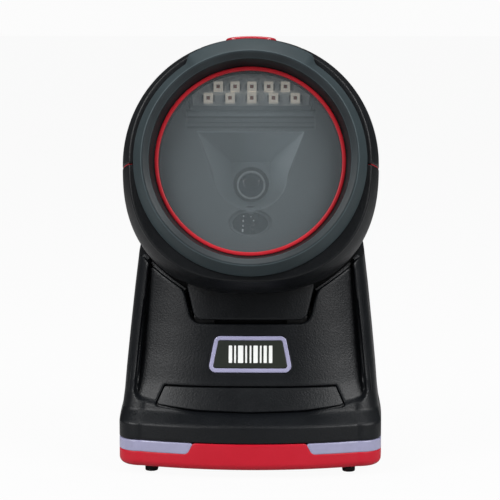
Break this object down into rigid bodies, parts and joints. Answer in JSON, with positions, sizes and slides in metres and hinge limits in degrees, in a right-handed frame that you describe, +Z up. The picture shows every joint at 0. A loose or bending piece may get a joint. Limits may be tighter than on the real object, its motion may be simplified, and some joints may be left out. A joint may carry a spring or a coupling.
{
  "type": "presentation barcode scanner",
  "caption": "Hands-free desk barcode scanner: a round tilting scan head with a top push button, on a weighted stand with light strips and a rear cable socket.",
  "frame": {"origin": "on the desk surface, under the middle of the base (bottom centre of the bounding box)", "axes": "+Z up; the scan window faces -Y; +X is to the right when looking at the window from the front"},
  "size_m": [0.0918, 0.094, 0.1484],
  "materials": {
    "badge_dark": "smooth, satin",
    "badge_print": "printed white",
    "black_inner": "smooth",
    "black_shell": "fine even texture, satin",
    "brass_spacer": "turned",
    "chip_black": "moulded resin",
    "circuit_board": "coated board",
    "clear_window": "clear, coated",
    "gasket_rubber": "soft, matt",
    "gold_contact": "plated",
    "grey_bezel": "dark grey, satin",
    "grey_inner": "moulded, matt",
    "grey_optics": "fine even texture",
    "led_package": "cream, semi gloss",
    "lens_glass": "polished, coated",
    "light_guide": "milky, softly glowing",
    "red_gasket": "soft, matt",
    "red_gloss": "polished",
    "red_plastic": "smooth, semi gloss",
    "speaker_dark": "moulded, matt",
    "steel": "zinc plated",
    "white_plunger": "smooth"
  },
  "bodies": {
    "stand": {"badge_light_ring": "light_guide", "badge_mark": "badge_print", "badge_plate": "badge_dark", "ballast_plate": "steel", "base_screws": "steel", "base_tray": "red_plastic", "bracket_screws": "steel", "cable_socket": "black_inner", "friction_washers": "steel", "front_plate": "black_shell", "hinge_bracket": "steel", "indicator_board": "circuit_board", "indicator_leds": "led_package", "interface_board": "circuit_board", "light_strip_left": "light_guide", "light_strip_right": "light_guide", "rear_cover_screws": "steel", "rubber_feet": "gasket_rubber", "socket_contacts": "gold_contact", "speaker": "speaker_dark", "stand_housing": "black_shell", "stand_rear_cover": "black_shell", "strip_led_boards": "circuit_board"},
    "head": {"head_upper_shell": "black_shell", "head_top_cover": "black_shell", "head_lower_shell": "black_shell", "seam_gasket": "red_gasket", "head_rear_screws": "steel", "button_switch": "black_inner", "button_board": "circuit_board", "button_board_screws": "steel", "head_bezel": "grey_bezel", "window_ring": "red_plastic", "scan_window": "clear_window", "window_gasket": "gasket_rubber", "optics_housing": "grey_optics", "led_frame": "grey_optics", "led_board": "circuit_board", "illumination_leds": "led_package", "camera_lens_barrel": "black_inner", "camera_lens": "lens_glass", "image_sensor": "chip_black", "camera_board": "circuit_board", "aimer_lens": "lens_glass", "aimer_emitter": "steel", "aimer_holder": "black_inner", "head_chassis": "grey_inner", "optics_screws": "steel", "neck_screws": "steel", "decoder_board": "circuit_board", "board_spacers": "brass_spacer", "decoder_chips": "chip_black", "neck_cover": "black_shell", "neck_arm": "grey_inner", "tilt_axle": "steel"},
    "button": {"top_button": "red_gloss", "switch_plunger": "white_plunger"}
  },
  "joints": [
    {"name": "head_tilt", "type": "hinge", "parent": "stand", "child": "head", "pos_m": [0, -0.0205, 0.05], "axis": [1, 0, 0], "range_deg": [-12, 8]},
    {"name": "button_press", "type": "slide", "parent": "head", "child": "button", "axis": [0, -0.2419, -0.9703], "range_m": [0, 0.0008], "stiffness_N_per_m": 300, "springref_m": -0.003}
  ]
}
